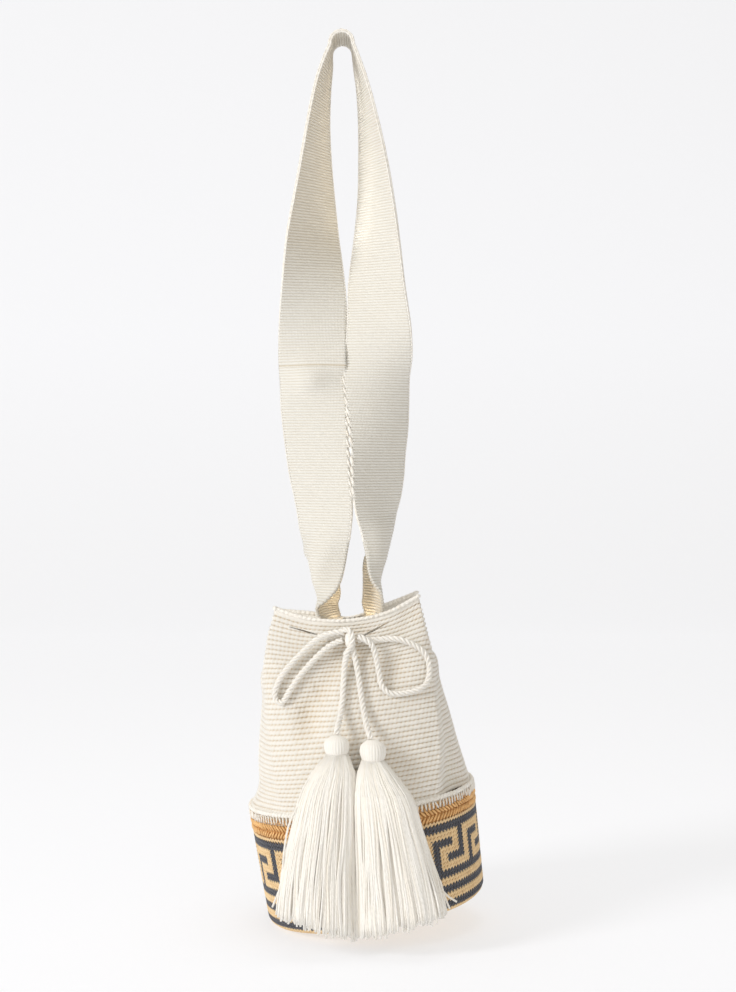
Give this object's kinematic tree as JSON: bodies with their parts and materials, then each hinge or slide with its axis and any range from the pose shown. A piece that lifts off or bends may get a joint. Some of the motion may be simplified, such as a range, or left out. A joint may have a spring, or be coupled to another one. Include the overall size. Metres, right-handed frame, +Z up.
{
  "type": "drawstring bucket basket bag",
  "caption": "Hanging bucket bag: straw basket base with a key pattern, soft crocheted upper, wide twisted shoulder strap, cord bow and tassels.",
  "frame": {"origin": "underside of the strap's bend, at the middle of its width, where the strap hangs", "axes": "+Z up, +X to the right as the bag's front is seen, +Y from the front to the back"},
  "size_m": [0.2102, 0.2451, 0.7935],
  "materials": {
    "cream_crochet": "matte single-crochet cotton",
    "cream_webbing": "matte ribbed cotton webbing",
    "white_cotton": "soft twisted cotton",
    "tan_straw": "two-tone crocheted straw",
    "brown_straw": "satin braided straw"
  },
  "bodies": {
    "root": {"basket_base": "tan_straw", "braid_band": "brown_straw", "joining_band": "cream_crochet", "bag_upper": "cream_crochet", "strap": "cream_webbing", "drawstring": "white_cotton", "bow_knot": "white_cotton", "bow_loop_left": "white_cotton", "bow_loop_right": "white_cotton", "cord_tail_left": "white_cotton", "cord_tail_right": "white_cotton", "tassel_left": "white_cotton", "tassel_right": "white_cotton"}
  },
  "joints": []
}
